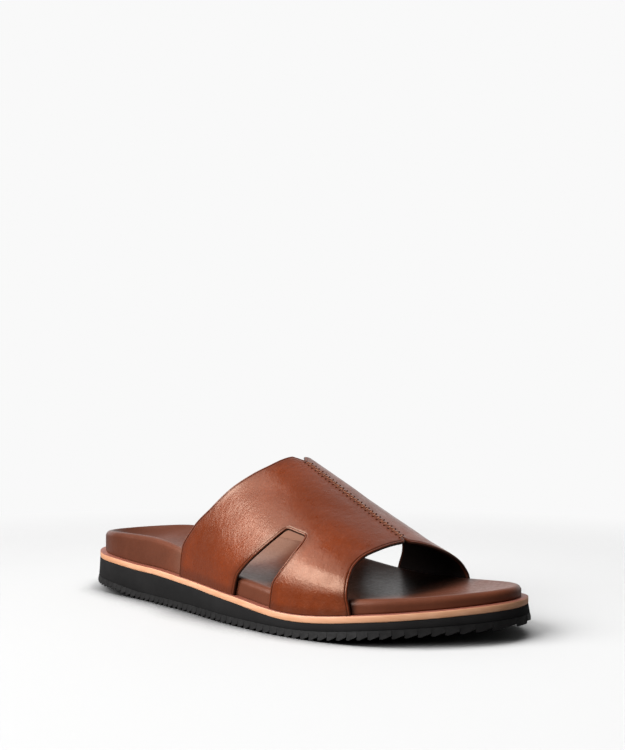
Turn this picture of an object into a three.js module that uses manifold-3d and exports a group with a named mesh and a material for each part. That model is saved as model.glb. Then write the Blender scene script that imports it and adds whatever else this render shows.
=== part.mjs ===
// Leather slide sandal for the right foot, standing on its sole.
// Millimetres, +X to the toe, +Y to the inner (medial) side, +Z up.
// The origin is on the floor, under the middle of the sole.
import * as THREE from 'three';
import { mergeVertices } from 'three/addons/utils/BufferGeometryUtils.js';
import Module from 'manifold-3d';

const wasm = await Module();
wasm.setup();

// Driving sizes
const LENGTH = 292;
const BALL_WIDTH = 107;
const CLEARANCE = 0.3;

// Sole, measured at the sections of the table below
const OUTSOLE_THICKNESS = 4;
const HEEL_STACK = 15.7;
const BALL_STACK = 7.5;
const HEEL_SPRING = 3.4;
const TOE_SPRING = 7.3;
const SOLE_FLARE = 1.2;
const TOOTH_PITCH = 4.8;
const TOOTH_DEPTH = 1.5;
const TOOTH_LAND = 1.2;
const WELT_THICKNESS = 3.5;

// Footbed
const WELT_LEDGE = 3.3;
const CUP_HEIGHT = 16.5;
const TOE_RIM_HEIGHT = 5.8;
const FLOOR_THICKNESS = 4.5;
const ARCH_RISE = 3;
const RIM_RADIUS = 3;
const CUP_REACH = LENGTH / 10;

// Upper
const LEATHER = 2;
const INSTEP_HEIGHT = 81.3;
const VAMP_HEIGHT = 43.1;
const SEAM_OFFSET = 6.1;
const REAR_NOTCH_HALF_WIDTH = 4.5;
const FRONT_NOTCH_HALF_WIDTH = 1.8;
const SLOT_WIDTH = 27.5;
const SLOT_HEIGHT = 39.5;
const SLOT_MEDIAL_SHIFT = 2.5;
const SHOULDER_LIFT = 0.5;
const CUT_FROM_SEAM = BALL_WIDTH / 6;
const CUT_BELOW_WELT = SLOT_HEIGHT / 3;

// Fineness of the facets. UPPER_LINES: lines along the upper, from the welt (2)
// past the shoulder (1) up to the seam (0).
const OUTLINE_STEPS = 48;
const UPPER_STEPS = 18;
const RIM_STEPS = 3;
const UPPER_LINES = [2, 1.5, 1, 0.9, 0.8, 0.7, 0.6, 0.5, 0.4, 0.3, 0.2, 0.085, 0.03];
const SMALL_TURN = 0.002;
const SMALL_ACROSS = 0.03;
const SMALL_LENGTH = LENGTH / 600;
const WELD_DISTANCE = 1e-4;

// The footbed's floor dips from the rim to its spine along this curve. The shares say
// where its rings lie, from the rim (0) to the spine (1).
const BOWL_STEEPNESS = 2.6;
const BOWL_SHARES = [0.14, 0.3, 0.5, 0.75, 1];

// Outline of the sole at the welt. at: share of LENGTH from the heel.
// lateral, medial: shares of BALL_WIDTH from the middle line.
const OUTLINE = [
  { at: 0, lateral: 0.055, medial: 0.055 },
  { at: 0.04, lateral: -0.149, medial: 0.25 },
  { at: 0.12, lateral: -0.278, medial: 0.345 },
  { at: 0.25, lateral: -0.316, medial: 0.348 },
  { at: 0.4, lateral: -0.383, medial: 0.332 },
  { at: 0.55, lateral: -0.471, medial: 0.425 },
  { at: 0.7, lateral: -0.5, medial: 0.5 },
  { at: 0.82, lateral: -0.432, medial: 0.484 },
  { at: 0.92, lateral: -0.252, medial: 0.405 },
  { at: 0.975, lateral: -0.085, medial: 0.3 },
  { at: 1, lateral: 0.115, medial: 0.115 },
];

// Side profile of sole and footbed. heel, toe: shares of HEEL_SPRING and TOE_SPRING.
// wedge: share of the rise from BALL_STACK to HEEL_STACK.
// rimLateral, rimMedial: shares of the rise from TOE_RIM_HEIGHT to CUP_HEIGHT.
// arch: share of ARCH_RISE added to the footbed's floor.
const PROFILE = [
  { at: 0, heel: 1, toe: 0, wedge: 0.91, rimLateral: 0.41, rimMedial: 0.41, arch: 0 },
  { at: 0.12, heel: 0.9, toe: 0, wedge: 0.91, rimLateral: 0.74, rimMedial: 0.71, arch: 0.1 },
  { at: 0.25, heel: 0, toe: 0, wedge: 1, rimLateral: 1, rimMedial: 0.98, arch: 0.6 },
  { at: 0.4, heel: 0, toe: 0, wedge: 0.76, rimLateral: 0.73, rimMedial: 1.04, arch: 1 },
  { at: 0.55, heel: 0, toe: 0, wedge: 0.44, rimLateral: 0.35, rimMedial: 0.7, arch: 0.5 },
  { at: 0.7, heel: 0, toe: 0, wedge: 0, rimLateral: 0.25, rimMedial: 0.32, arch: 0 },
  { at: 0.85, heel: 0, toe: 0.45, wedge: 0.01, rimLateral: 0.07, rimMedial: 0.03, arch: 0 },
  { at: 1, heel: 0, toe: 1, wedge: 0.09, rimLateral: 0, rimMedial: 0, arch: 0 },
];

// Fullness of the upper's cross-sections: 2 is an ellipse, more is squarer.
const FULLNESS = [
  { at: 0.35, lateral: 1.8, medial: 2 },
  { at: 0.52, lateral: 1.8, medial: 2 },
  { at: 0.62, lateral: 1.95, medial: 2.05 },
  { at: 0.71, lateral: 2.15, medial: 1.95 },
  { at: 0.83, lateral: 2.3, medial: 1.95 },
];

// The seam's two ends, as shares of LENGTH.
const SEAM_REAR = 0.5565;
const SEAM_FRONT = 0.787;

// Where the upper's edges run, as shares of LENGTH. rise: -1 at the welt, 0 where
// the wall starts to lean in over the rim of the footbed, 1 at the seam.
const EDGES = [
  { rise: -1, rearLateral: 0.372, rearMedial: 0.39, frontLateral: 0.8075, frontMedial: 0.829 },
  { rise: 0, rearLateral: 0.38, rearMedial: 0.401, frontLateral: 0.8025, frontMedial: 0.824 },
  { rise: 0.15, rearLateral: 0.4125, rearMedial: 0.43, frontLateral: 0.8005, frontMedial: 0.82 },
  { rise: 0.3, rearLateral: 0.4575, rearMedial: 0.469, frontLateral: 0.7962, frontMedial: 0.8175 },
  { rise: 0.45, rearLateral: 0.489, rearMedial: 0.4965, frontLateral: 0.791, frontMedial: 0.815 },
  { rise: 0.6, rearLateral: 0.515, rearMedial: 0.519, frontLateral: 0.7895, frontMedial: 0.81 },
  { rise: 0.75, rearLateral: 0.5315, rearMedial: 0.5345, frontLateral: 0.791, frontMedial: 0.803 },
  { rise: 1, rearLateral: 0.5405, rearMedial: 0.5445, frontLateral: 0.791, frontMedial: 0.792 },
];

// Side cut-out between the rear and front strap. rise: share of SLOT_HEIGHT from the
// welt; the others: shares of SLOT_WIDTH from the slot's rear foot. The front edge
// leans further forward on the lateral side.
const SLOT_FOOT = 0.5525;
const SLOT = [
  { rise: 0, rear: 0, frontLateral: 1, frontMedial: 1 },
  { rise: 0.27, rear: 0.12, frontLateral: 1.07, frontMedial: 1.12 },
  { rise: 0.43, rear: 0.325, frontLateral: 1.21, frontMedial: 1.235 },
  { rise: 0.64, rear: 0.647, frontLateral: 1.375, frontMedial: 1.335 },
  { rise: 0.8, rear: 0.87, frontLateral: 1.436, frontMedial: 1.37 },
];
const SLOT_TOP_REAR = { rise: 0.93, across: 1.02 };
const SLOT_TOP_FRONT = { rise: 0.86, frontLateral: 1.43, frontMedial: 1.355 };

const mix = (from, to, share) => from + (to - from) * share;

// Smooth curve through the rows of a table; it never swings past a row.
function follow(rows, key, column, place) {
  const inside = THREE.MathUtils.clamp(place, rows[0][key], rows[rows.length - 1][key]);
  let i = rows.length - 2;
  while (i > 0 && rows[i][key] > inside) i -= 1;
  const slope = (k) => (rows[k + 1][column] - rows[k][column]) / (rows[k + 1][key] - rows[k][key]);
  const tangent = (k) => {
    if (k === 0) return slope(0);
    if (k === rows.length - 1) return slope(k - 1);
    const before = slope(k - 1);
    const after = slope(k);
    return before * after <= 0 ? 0 : (2 * before * after) / (before + after);
  };
  const span = rows[i + 1][key] - rows[i][key];
  const t = (inside - rows[i][key]) / span;
  const rest = 1 - t;
  return (1 + 2 * t) * rest * rest * rows[i][column]
    + t * rest * rest * span * tangent(i)
    + t * t * (3 - 2 * t) * rows[i + 1][column]
    - t * t * rest * span * tangent(i + 1);
}

// The outline as one closed loop of turns: 0 at the heel, along the lateral side,
// PI at the toe, and back along the medial side.
const turnAt = (at) => Math.acos(1 - 2 * at);
const loop = [
  ...OUTLINE.map((row) => ({ turn: turnAt(row.at), y: row.lateral * BALL_WIDTH })),
  ...OUTLINE.slice(0, -1).reverse().map(
    (row) => ({ turn: 2 * Math.PI - turnAt(row.at), y: row.medial * BALL_WIDTH })),
];

// Height of the closed loop's side at one turn, with tangents that pass smoothly
// through the heel and the toe.
function sideAt(turn) {
  const last = loop.length - 1;
  let i = last - 1;
  while (i > 0 && loop[i].turn > turn) i -= 1;
  const slope = (k) => {
    const from = loop[(k + last) % last];
    const to = loop[((k + last) % last) + 1];
    return { rise: (to.y - from.y) / (to.turn - from.turn), span: to.turn - from.turn };
  };
  const tangent = (k) => {
    const before = slope(k - 1);
    const after = slope(k);
    return (before.rise * after.span + after.rise * before.span) / (before.span + after.span);
  };
  const span = loop[i + 1].turn - loop[i].turn;
  const t = (turn - loop[i].turn) / span;
  const rest = 1 - t;
  return (1 + 2 * t) * rest * rest * loop[i].y
    + t * rest * rest * span * tangent(i)
    + t * t * (3 - 2 * t) * loop[i + 1].y
    - t * t * rest * span * tangent(i + 1);
}

const lengthAt = (turn) => (-LENGTH / 2) * Math.cos(turn);
const shareAt = (x) => THREE.MathUtils.clamp(x / LENGTH + 0.5, 0, 1);

// A point of the outline, set in (or out, if negative) square to its edge.
function edgePoint(turn, inset) {
  const dx = lengthAt(turn + SMALL_TURN) - lengthAt(turn - SMALL_TURN);
  const wrap = (angle) => (angle + 2 * Math.PI) % (2 * Math.PI);
  const dy = sideAt(wrap(turn + SMALL_TURN)) - sideAt(wrap(turn - SMALL_TURN));
  const long = Math.hypot(dx, dy);
  return { x: lengthAt(turn) - (inset * dy) / long, y: sideAt(wrap(turn)) + (inset * dx) / long };
}

// Heights of the layers at a place along the sole
const ground = (x) => HEEL_SPRING * follow(PROFILE, 'at', 'heel', shareAt(x))
  + TOE_SPRING * follow(PROFILE, 'at', 'toe', shareAt(x));
const outsoleTop = (x) => ground(x) + OUTSOLE_THICKNESS;
const wedgeTop = (x) => ground(x)
  + mix(BALL_STACK, HEEL_STACK, follow(PROFILE, 'at', 'wedge', shareAt(x)));
const weltTop = (x) => wedgeTop(x) + WELT_THICKNESS;
const rimTop = (x, side) => weltTop(x) + mix(TOE_RIM_HEIGHT, CUP_HEIGHT,
  follow(PROFILE, 'at', side < 0 ? 'rimLateral' : 'rimMedial', shareAt(x)));
const floorTop = (x) => weltTop(x) + FLOOR_THICKNESS
  + ARCH_RISE * follow(PROFILE, 'at', 'arch', shareAt(x));

// A closed body from rings of points, each ring a list of [x, y, z] of one length,
// going up the outside. A flat lid closes the first ring, and the last one too if
// lidOnTop is true; a last ring drawn together into a line needs none.
function ringBody(rings, lidOnTop) {
  const count = rings[0].length;
  const triangles = [];
  const corner = (ring, k) => rings[ring][(k + count) % count];
  for (let ring = 0; ring + 1 < rings.length; ring += 1) {
    for (let k = 0; k < count; k += 1) {
      triangles.push(corner(ring, k), corner(ring, k + 1), corner(ring + 1, k + 1));
      triangles.push(corner(ring, k), corner(ring + 1, k + 1), corner(ring + 1, k));
    }
  }
  // a ladder of rungs from the lateral to the medial side closes a flat end
  const ladder = (ring, upward) => {
    const half = count / 2;
    for (let k = 0; k < half; k += 1) {
      const a = corner(ring, k);
      const b = corner(ring, k + 1);
      const c = corner(ring, count - k - 1);
      const d = corner(ring, count - k);
      if (upward) triangles.push(a, b, c, a, c, d);
      else triangles.push(a, c, b, a, d, c);
    }
  };
  ladder(0, false);
  if (lidOnTop) ladder(rings.length - 1, true);
  return bodyOf(triangles);
}

// One indexed geometry from loose triangles; slivers with no area are left out.
function bodyOf(corners) {
  const geometry = new THREE.BufferGeometry();
  geometry.setAttribute('position', new THREE.Float32BufferAttribute(corners.flat(), 3));
  const merged = mergeVertices(geometry, WELD_DISTANCE);
  const index = merged.getIndex().array;
  const kept = [];
  for (let k = 0; k < index.length; k += 3) {
    const [a, b, c] = [index[k], index[k + 1], index[k + 2]];
    if (a !== b && b !== c && c !== a) kept.push(a, b, c);
  }
  merged.setIndex(kept);
  return merged;
}

function solidOf(geometry) {
  const bare = geometry.clone();
  bare.deleteAttribute('normal');
  bare.deleteAttribute('uv');
  const merged = mergeVertices(bare, WELD_DISTANCE);
  return new wasm.Manifold(new wasm.Mesh({
    numProp: 3,
    vertProperties: new Float32Array(merged.getAttribute('position').array),
    triVerts: new Uint32Array(merged.getIndex().array),
  }));
}

function geometryOf(solid) {
  const mesh = solid.getMesh();
  const geometry = new THREE.BufferGeometry();
  const points = [];
  for (let k = 0; k < mesh.numVert; k += 1) {
    for (let axis = 0; axis < 3; axis += 1) {
      points.push(mesh.vertProperties[k * mesh.numProp + axis]);
    }
  }
  geometry.setAttribute('position', new THREE.Float32BufferAttribute(points, 3));
  geometry.setIndex([...mesh.triVerts]);
  return geometry;
}

// A ring round the sole at one inset, with its height given by x and side
function ringAt(inset, heightOf) {
  const ring = [];
  for (let k = 0; k < 2 * OUTLINE_STEPS; k += 1) {
    const turn = (Math.PI * k) / OUTLINE_STEPS;
    const point = edgePoint(turn, inset);
    ring.push([point.x, point.y, heightOf(point.x, k < OUTLINE_STEPS ? -1 : 1)]);
  }
  return ring;
}

// A layer of the sole, its edge leaning from one inset at the bottom to another at the top
const layer = (lowInset, lowHeight, highInset, highHeight) => ringBody(
  [ringAt(lowInset, lowHeight), ringAt(highInset, highHeight)], true);

// A prism across the sandal from a side outline of [x, z] points
function prismAcross(points, from, to) {
  const shape = new THREE.Shape(points.map(([x, z]) => new THREE.Vector2(x, z)));
  const geometry = new THREE.ExtrudeGeometry(shape, { depth: to - from, bevelEnabled: false });
  geometry.rotateX(Math.PI / 2);
  geometry.translate(0, to, 0);
  return geometry;
}

// Outsole: a plate that reaches below the floor, with the saw-tooth tread cut up into it.
// Each tooth has a short flat land at its rear and rises toward the toe.
function outsole() {
  const plateBottom = -TOOTH_DEPTH;
  const cutterBottom = 2 * plateBottom;
  const plate = solidOf(layer(-SOLE_FLARE, () => plateBottom, -SOLE_FLARE / 2, outsoleTop));
  const reach = LENGTH / 2 + TOOTH_PITCH;
  const profile = [[-reach, cutterBottom]];
  for (let x = -reach; x < reach; x += TOOTH_PITCH) {
    profile.push([x, ground(x + TOOTH_LAND / 2)]);
    profile.push([x + TOOTH_LAND, ground(x + TOOTH_LAND / 2)]);
    profile.push([x + TOOTH_PITCH, ground(x + TOOTH_PITCH) + TOOTH_DEPTH]);
  }
  profile.push([profile[profile.length - 1][0], cutterBottom]);
  const tread = solidOf(prismAcross(profile, -BALL_WIDTH, BALL_WIDTH));
  return geometryOf(plate.subtract(tread));
}

const wedgeMidsole = () => layer(
  -SOLE_FLARE / 2, (x) => outsoleTop(x) + CLEARANCE, 0, (x) => wedgeTop(x) - CLEARANCE);

const weltLayer = () => layer(0, wedgeTop, 0, weltTop);

// Footbed: upright leather wall, rounded rim, and a floor that dips from the rim
// to a spine along the middle.
function footbed() {
  const foot = (x) => weltTop(x) + CLEARANCE;
  const rings = [
    ringAt(WELT_LEDGE, foot),
    ringAt(WELT_LEDGE, (x, side) => rimTop(x, side) - RIM_RADIUS),
  ];
  for (let step = 1; step <= RIM_STEPS; step += 1) {
    const lean = (step / RIM_STEPS) * (Math.PI / 2);
    rings.push(ringAt(WELT_LEDGE + RIM_RADIUS * (1 - Math.cos(lean)),
      (x, side) => rimTop(x, side) - RIM_RADIUS * (1 - Math.sin(lean))));
  }
  const rim = rings[rings.length - 1];
  const spineEnd = LENGTH / 2 - CUP_REACH;
  const spine = rim.map(([x], k) => {
    const pair = rim[(rim.length - k) % rim.length];
    const along = THREE.MathUtils.clamp((x + pair[0]) / 2, -spineEnd, spineEnd);
    return [along, middleAt(along)];
  });
  for (const share of BOWL_SHARES) {
    const dip = 1 - (1 - share) ** BOWL_STEEPNESS;
    rings.push(rim.map(([x, y, z], k) => {
      const px = mix(x, spine[k][0], share);
      const py = mix(y, spine[k][1], share);
      const depth = mix(z - weltTop(x), floorTop(px) - weltTop(px), dip);
      return [px, py, weltTop(px) + depth];
    }));
  }
  return ringBody(rings, false);
}

// Middle line of the sole
function middleAt(x) {
  const turn = turnAt(shareAt(x));
  return (sideAt(turn) + sideAt(2 * Math.PI - turn)) / 2;
}

// Outer face of the upper's wall where it stands beside the footbed
function wallSide(x, side) {
  const turn = turnAt(shareAt(x));
  const place = side < 0 ? turn : 2 * Math.PI - turn;
  const run = lengthAt(turn + SMALL_TURN) - lengthAt(turn - SMALL_TURN);
  const lean = (sideAt(place + SMALL_TURN) - sideAt(place - SMALL_TURN)) / run;
  const inset = WELT_LEDGE - CLEARANCE - LEATHER;
  return sideAt(place) - side * inset * Math.hypot(1, lean);
}

const ridgeHeight = (x) => mix(INSTEP_HEIGHT, VAMP_HEIGHT,
  (shareAt(x) - SEAM_REAR) / (SEAM_FRONT - SEAM_REAR));

// A point of the upper's outer face. across: -2 at the lateral welt, -1 at the lateral
// shoulder, 0 at the seam, 1 and 2 the same on the medial side.
function upperPoint(x, across) {
  const side = across < 0 ? -1 : 1;
  const rise = 1 - Math.abs(across);
  const shoulder = rimTop(x, side) + SHOULDER_LIFT;
  const wall = wallSide(x, side);
  if (rise <= 0) {
    return new THREE.Vector3(x, wall, mix(shoulder, weltTop(x) + CLEARANCE, -rise));
  }
  const fullness = follow(FULLNESS, 'at', side < 0 ? 'lateral' : 'medial', shareAt(x));
  const lean = (rise * Math.PI) / 2;
  const out = Math.cos(lean) ** (2 / fullness);
  const up = Math.sin(lean) ** (2 / fullness);
  return new THREE.Vector3(x, mix(SEAM_OFFSET, wall, out), mix(shoulder, ridgeHeight(x), up));
}

// Ends of the upper along x at one place across, with the small notches at the seam
function upperEnd(across, end) {
  const rise = 1 - Math.abs(across);
  const column = end + (across < 0 ? 'Lateral' : 'Medial');
  const plain = LENGTH * (follow(EDGES, 'rise', column, rise) - 0.5);
  const seamEnd = LENGTH * ((end === 'rear' ? SEAM_REAR : SEAM_FRONT) - 0.5);
  const halfWidth = end === 'rear' ? REAR_NOTCH_HALF_WIDTH : FRONT_NOTCH_HALF_WIDTH;
  const off = Math.abs(upperPoint(plain, across).y - SEAM_OFFSET);
  const notch = Math.max(0, 1 - off / halfWidth);
  return mix(plain, seamEnd, rise > 0 ? notch : 0);
}

// The whole upper before the side cut-outs: an outer face and, one leather deep
// behind it, an inner face
function upperShell() {
  const lines = [...UPPER_LINES.map((line) => -line), 0, ...UPPER_LINES.slice().reverse()];
  const [lowest] = UPPER_LINES;
  const outer = [];
  const inner = [];
  for (const across of lines) {
    const from = upperEnd(across, 'rear');
    const to = upperEnd(across, 'front');
    const outerRow = [];
    const innerRow = [];
    for (let k = 0; k <= UPPER_STEPS; k += 1) {
      const x = mix(from, to, k / UPPER_STEPS);
      const point = upperPoint(x, across);
      const ahead = upperPoint(x + SMALL_LENGTH, across);
      const along = ahead.sub(upperPoint(x - SMALL_LENGTH, across));
      const inward = upperPoint(x, Math.min(across + SMALL_ACROSS, lowest));
      const sideways = inward.sub(upperPoint(x, Math.max(across - SMALL_ACROSS, -lowest)));
      const normal = along.cross(sideways).normalize();
      outerRow.push(point.toArray());
      innerRow.push(point.clone().addScaledVector(normal, -LEATHER).toArray());
    }
    outer.push(outerRow);
    inner.push(innerRow);
  }
  const corners = [];
  const quad = (a, b, c, d) => corners.push(a, b, c, a, c, d);
  const last = lines.length - 1;
  for (let row = 0; row < last; row += 1) {
    for (let k = 0; k < UPPER_STEPS; k += 1) {
      quad(outer[row][k], outer[row][k + 1], outer[row + 1][k + 1], outer[row + 1][k]);
      quad(inner[row][k], inner[row + 1][k], inner[row + 1][k + 1], inner[row][k + 1]);
    }
    quad(outer[row][0], outer[row + 1][0], inner[row + 1][0], inner[row][0]);
    quad(outer[row][UPPER_STEPS], inner[row][UPPER_STEPS],
      inner[row + 1][UPPER_STEPS], outer[row + 1][UPPER_STEPS]);
  }
  for (let k = 0; k < UPPER_STEPS; k += 1) {
    quad(outer[0][k], inner[0][k], inner[0][k + 1], outer[0][k + 1]);
    quad(outer[last][k], outer[last][k + 1], inner[last][k + 1], inner[last][k]);
  }
  return bodyOf(corners);
}

// Side outline of a cut-out, from below the welt up to its slanted top
function slotOutline(shift, front) {
  const foot = LENGTH * (SLOT_FOOT - 0.5) + shift;
  const base = weltTop(foot + SLOT_WIDTH / 2);
  const place = (rise, across) => [foot + across * SLOT_WIDTH, base + rise * SLOT_HEIGHT];
  const below = -CUT_BELOW_WELT / SLOT_HEIGHT;
  return [
    place(below, SLOT[0].rear),
    place(below, SLOT[0][front]),
    ...SLOT.map((row) => place(row.rise, row[front])),
    place(SLOT_TOP_FRONT.rise, SLOT_TOP_FRONT[front]),
    place(SLOT_TOP_REAR.rise, SLOT_TOP_REAR.across),
    ...SLOT.slice().reverse().map((row) => place(row.rise, row.rear)),
  ];
}

function upper() {
  const lateral = prismAcross(
    slotOutline(0, 'frontLateral'), -BALL_WIDTH, SEAM_OFFSET - CUT_FROM_SEAM);
  const medial = prismAcross(
    slotOutline(SLOT_MEDIAL_SHIFT, 'frontMedial'), SEAM_OFFSET + CUT_FROM_SEAM, BALL_WIDTH);
  return geometryOf(solidOf(upperShell()).subtract(solidOf(lateral)).subtract(solidOf(medial)));
}

const finish = (color, roughness) => new THREE.MeshStandardMaterial(
  { color, roughness, metalness: 0 });

const sandal = new THREE.Group();
const add = (name, geometry, material) => {
  const mesh = new THREE.Mesh(geometry, material);
  mesh.name = name;
  sandal.add(mesh);
};
add('outsole', outsole(), finish(0x3c3a39, 0.85));
add('wedge_midsole', wedgeMidsole(), finish(0x1c1a1a, 0.9));
add('welt_layer', weltLayer(), finish(0xcb9575, 0.65));
add('footbed', footbed(), finish(0x6b4335, 0.6));
add('upper', upper(), finish(0x8a4428, 0.4));

export default sandal;
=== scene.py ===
import math

import bmesh
import bpy
import numpy as np
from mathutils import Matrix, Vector
from mathutils.kdtree import KDTree


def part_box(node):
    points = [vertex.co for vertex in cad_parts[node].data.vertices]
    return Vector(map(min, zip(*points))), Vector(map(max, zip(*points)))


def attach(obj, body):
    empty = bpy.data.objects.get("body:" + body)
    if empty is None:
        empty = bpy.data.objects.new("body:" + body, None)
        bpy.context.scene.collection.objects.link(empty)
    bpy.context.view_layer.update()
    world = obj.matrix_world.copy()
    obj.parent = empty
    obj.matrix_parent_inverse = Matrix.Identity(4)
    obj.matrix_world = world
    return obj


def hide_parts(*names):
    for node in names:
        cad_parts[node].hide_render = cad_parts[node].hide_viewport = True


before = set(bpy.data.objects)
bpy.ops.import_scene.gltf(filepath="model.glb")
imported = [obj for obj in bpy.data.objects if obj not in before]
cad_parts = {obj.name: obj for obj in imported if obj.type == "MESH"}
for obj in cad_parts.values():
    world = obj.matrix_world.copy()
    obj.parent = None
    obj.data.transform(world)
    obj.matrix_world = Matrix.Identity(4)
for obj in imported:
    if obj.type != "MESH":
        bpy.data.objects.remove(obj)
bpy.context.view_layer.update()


# Outsole
# A black rubber sheet with a saw-tooth tread across the foot. It is moulded in one
# piece, cemented under the foam wedge, and flares out a little toward the floor.
MM = 0.001
welt_low, welt_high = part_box("welt_layer")
LENGTH = welt_high.x - welt_low.x
BALL_WIDTH = 107 * MM
OUTSOLE_THICKNESS = 4 * MM
HEEL_SPRING = 3.4 * MM
TOE_SPRING = 7.3 * MM
SOLE_FLARE = 1.2 * MM
TOOTH_PITCH = 4.8 * MM
TOOTH_DEPTH = 1.5 * MM
TOOTH_LAND = 1.2 * MM
HEEL_CORNER = 2.6 * MM
STEEP_FACE = 0.05 * MM
TIP_STATIONS = 90
TREAD_LANES = 10
SMALL_TURN = 0.002
EDGE_SAMPLES = 721

# Outline of the sole: at is a share of LENGTH from the heel, the sides of BALL_WIDTH.
OUTLINE = {
    "at": (0, 0.04, 0.12, 0.25, 0.4, 0.55, 0.7, 0.82, 0.92, 0.975, 1),
    "lateral": (0.055, -0.149, -0.278, -0.316, -0.383, -0.471, -0.5, -0.432, -0.252, -0.085, 0.115),
    "medial": (0.055, 0.25, 0.345, 0.348, 0.332, 0.425, 0.5, 0.484, 0.405, 0.3, 0.115),
}
# Side profile: shares of the springs, of the wedge's rise, of the rim's rise and of the arch.
PROFILE = {
    "at": (0, 0.12, 0.25, 0.4, 0.55, 0.7, 0.85, 1),
    "heel": (1, 0.9, 0, 0, 0, 0, 0, 0),
    "toe": (0, 0, 0, 0, 0, 0, 0.45, 1),
    "wedge": (0.91, 0.91, 1, 0.76, 0.44, 0, 0.01, 0.09),
    "rim_lateral": (0.41, 0.74, 1, 0.73, 0.35, 0.25, 0.07, 0),
    "rim_medial": (0.41, 0.71, 0.98, 1.04, 0.7, 0.32, 0.03, 0),
    "arch": (0, 0.1, 0.6, 1, 0.5, 0, 0, 0),
}


def mix(low, high, share):
    return low + (high - low) * share


def hermite(at, value, tangent, place):
    """Smooth curve through the values at the places, with the tangents given."""
    step = np.clip(np.searchsorted(at, place, side="right") - 1, 0, len(at) - 2)
    span = at[step + 1] - at[step]
    t = (place - at[step]) / span
    rest = 1 - t
    return (
        (1 + 2 * t) * rest * rest * value[step]
        + t * rest * rest * span * tangent[step]
        + t * t * (3 - 2 * t) * value[step + 1]
        - t * t * rest * span * tangent[step + 1]
    )


def follow(table, column, place):
    """Smooth curve through one column of a table; it never swings past a row."""
    at = np.array(table[next(iter(table))], float)
    value = np.array(table[column], float)
    slope = np.diff(value) / np.diff(at)
    before, after = slope[:-1], slope[1:]
    same_way = before * after > 0
    total = np.where(same_way, before + after, 1)
    middle = np.where(same_way, 2 * before * after / total, 0)
    tangent = np.concatenate([slope[:1], middle, slope[-1:]])
    return hermite(at, value, tangent, np.clip(place, at[0], at[-1]))


def turn_at(at):
    return np.arccos(1 - 2 * np.asarray(at, float))


def side_at(turn):
    """Side of the closed outline at a turn: 0 at the heel, pi at the toe."""
    lateral_turn = turn_at(OUTLINE["at"])
    turns = np.concatenate([lateral_turn, 2 * math.pi - lateral_turn[-2::-1]])
    sides = BALL_WIDTH * np.array(OUTLINE["lateral"] + OUTLINE["medial"][-2::-1])
    span = np.diff(turns)
    slope = np.diff(sides) / span
    span_before, slope_before = np.roll(span, 1), np.roll(slope, 1)
    tangent = (slope_before * span + slope * span_before) / (span_before + span)
    return hermite(turns, sides, np.append(tangent, tangent[0]), np.mod(turn, 2 * math.pi))


def length_at(turn):
    return -LENGTH / 2 * np.cos(turn)


def share_at(x):
    return np.clip(x / LENGTH + 0.5, 0, 1)


def edge_place(turn, inset):
    """A point of the outline, set in square to its edge, or out if negative."""
    run = length_at(turn + SMALL_TURN) - length_at(turn - SMALL_TURN)
    rise = side_at(turn + SMALL_TURN) - side_at(turn - SMALL_TURN)
    long = np.hypot(run, rise)
    return length_at(turn) - inset * rise / long, side_at(turn) + inset * run / long


def ground(x):
    share = share_at(x)
    return HEEL_SPRING * follow(PROFILE, "heel", share) + TOE_SPRING * follow(PROFILE, "toe", share)


def outsole_top(x):
    return ground(x) + OUTSOLE_THICKNESS


def side_edges(x, inset):
    """Lateral and medial side of the outline at x, for one inset."""
    turns = np.linspace(0, math.pi, EDGE_SAMPLES)
    lateral_x, lateral_y = edge_place(turns, inset)
    medial_x, medial_y = edge_place(2 * math.pi - turns, inset)
    return np.interp(x, lateral_x, lateral_y), np.interp(x, medial_x, medial_y)


def lay_grid(mesh, columns, rows, places):
    """A sheet of columns by rows faces, its corners laid at places[column][row]."""
    bmesh.ops.create_grid(mesh, x_segments=columns, y_segments=rows, size=1)
    for vert in mesh.verts:
        column = round((vert.co.x + 1) / 2 * columns)
        row = round((vert.co.y + 1) / 2 * rows)
        vert.co = places[column][row]


def new_piece(mesh, name, materials, sharp_degrees=40):
    """An object from a finished bmesh, smooth but for its sharp edges."""
    data = bpy.data.meshes.new(name)
    mesh.to_mesh(data)
    mesh.free()
    for material in materials:
        data.materials.append(material)
    data.polygons.foreach_set("use_smooth", [True] * len(data.polygons))
    data.set_sharp_from_angle(angle=math.radians(sharp_degrees))
    piece = bpy.data.objects.new(name, data)
    bpy.context.scene.collection.objects.link(piece)
    return piece


def dye(code):
    """Linear colour of a six-digit web colour."""
    parts = [int(code[k:k + 2], 16) / 255 for k in (0, 2, 4)]
    return [c / 12.92 if c < 0.04045 else ((c + 0.055) / 1.055) ** 2.4 for c in parts] + [1]


def add_node(tree, kind, inputs=None, **settings):
    """A shader node; its inputs are values or the sockets that feed them."""
    made = tree.nodes.new("ShaderNode" + kind)
    for setting, value in settings.items():
        setattr(made, setting, value)
    for socket, value in (inputs or {}).items():
        if isinstance(value, bpy.types.NodeSocket):
            tree.links.new(value, made.inputs[socket])
        else:
            made.inputs[socket].default_value = value
    return made


def new_material(name, **sockets):
    """A material with one shader, whose fixed sockets are given."""
    material = bpy.data.materials.new(name)
    material.use_nodes = True
    shader = material.node_tree.nodes["Principled BSDF"]
    for socket, value in sockets.items():
        shader.inputs[socket.replace("_", " ")].default_value = value
    return material


def feed(material, socket, source):
    """Joins a node's output to one of the shader's sockets."""
    tree = material.node_tree
    tree.links.new(source, tree.nodes["Principled BSDF"].inputs[socket])


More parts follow.
